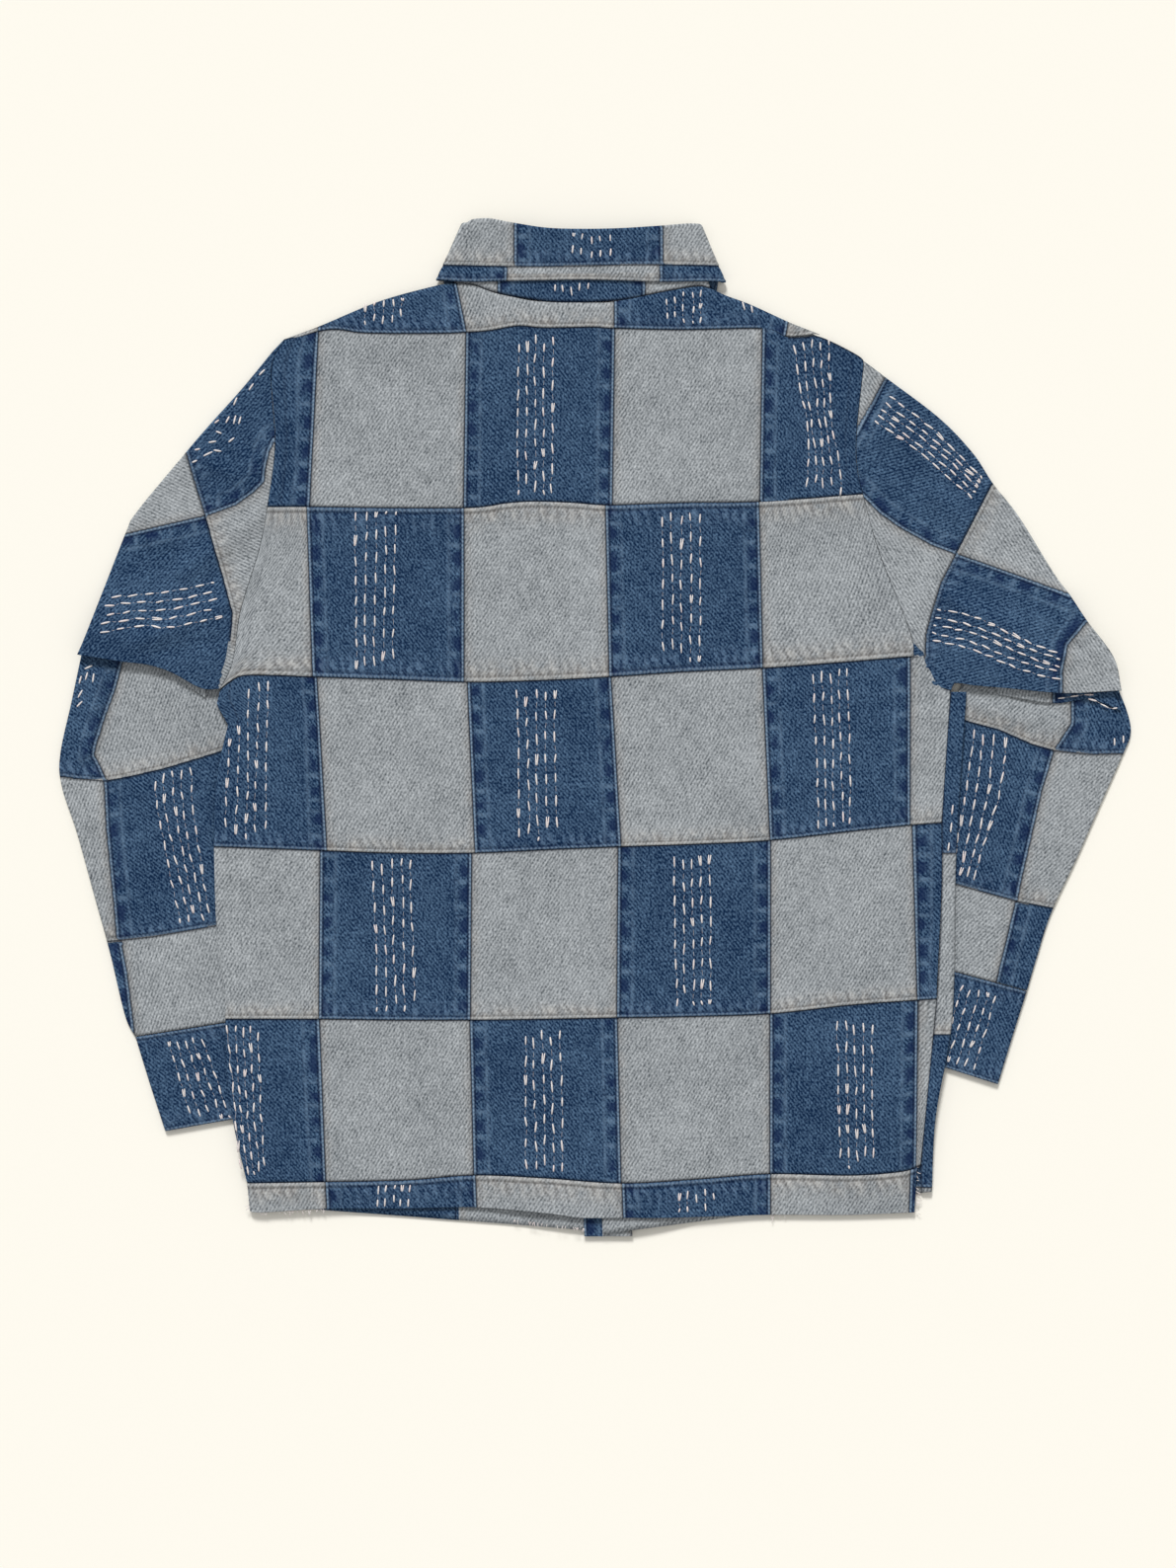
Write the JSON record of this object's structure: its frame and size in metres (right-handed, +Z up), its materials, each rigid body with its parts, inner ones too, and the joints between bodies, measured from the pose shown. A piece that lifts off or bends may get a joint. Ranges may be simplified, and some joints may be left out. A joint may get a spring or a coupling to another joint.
{
  "type": "patchwork denim jacket",
  "caption": "Patched denim jacket laid flat on its front, back up: a checker of indigo and pale patches with rows of hand running stitch, shirt collar and sleeves folded down.",
  "frame": {"origin": "on the surface it lies on, under the middle of the whole outline", "axes": "+X to the right of someone looking down at the back, +Y towards the collar, +Z up"},
  "size_m": [0.846, 0.802, 0.0103],
  "materials": {
    "indigo_denim": "matt twill, face out, worn pale along the folded seams, with pale hand stitches",
    "pale_denim": "matt twill, reverse side out, pale grey with a fine diagonal",
    "dark_button": "plain dark satin button"
  },
  "bodies": {
    "root": {"back_row0_patch1": "indigo_denim", "back_row0_patch2": "pale_denim", "back_row0_patch3": "indigo_denim", "back_row1_patch0": "indigo_denim", "back_row1_patch1": "pale_denim", "back_row1_patch2": "indigo_denim", "back_row1_patch3": "pale_denim", "back_row1_patch4": "indigo_denim", "back_row2_patch0": "pale_denim", "back_row2_patch1": "indigo_denim", "back_row2_patch2": "pale_denim", "back_row2_patch3": "indigo_denim", "back_row2_patch4": "pale_denim", "back_row3_patch0": "indigo_denim", "back_row3_patch1": "pale_denim", "back_row3_patch2": "indigo_denim", "back_row3_patch3": "pale_denim", "back_row3_patch4": "indigo_denim", "back_row3_patch5": "pale_denim", "back_row4_patch0": "pale_denim", "back_row4_patch1": "indigo_denim", "back_row4_patch2": "pale_denim", "back_row4_patch3": "indigo_denim", "back_row4_patch4": "pale_denim", "back_row4_patch5": "indigo_denim", "back_row5_patch0": "indigo_denim", "back_row5_patch1": "pale_denim", "back_row5_patch2": "indigo_denim", "back_row5_patch3": "pale_denim", "back_row5_patch4": "indigo_denim", "back_row5_patch5": "pale_denim", "back_row6_patch0": "pale_denim", "back_row6_patch1": "indigo_denim", "back_row6_patch2": "pale_denim", "back_row6_patch3": "indigo_denim", "back_row6_patch4": "pale_denim", "front_left": "pale_denim", "front_right": "pale_denim", "front_right_turned_edge": "pale_denim", "button_band": "indigo_denim", "button_1": "dark_button", "button_2": "dark_button", "button_3": "dark_button", "button_4": "dark_button", "button_5": "dark_button", "sleeve_left_upper": "indigo_denim", "sleeve_right_upper": "indigo_denim", "sleeve_left_pleat": "pale_denim", "sleeve_right_pleat": "pale_denim", "sleeve_left_forearm": "pale_denim", "sleeve_right_forearm": "pale_denim", "cuff_left": "indigo_denim", "cuff_right": "indigo_denim", "collar_stand": "pale_denim", "collar_fall": "indigo_denim"}
  },
  "joints": []
}
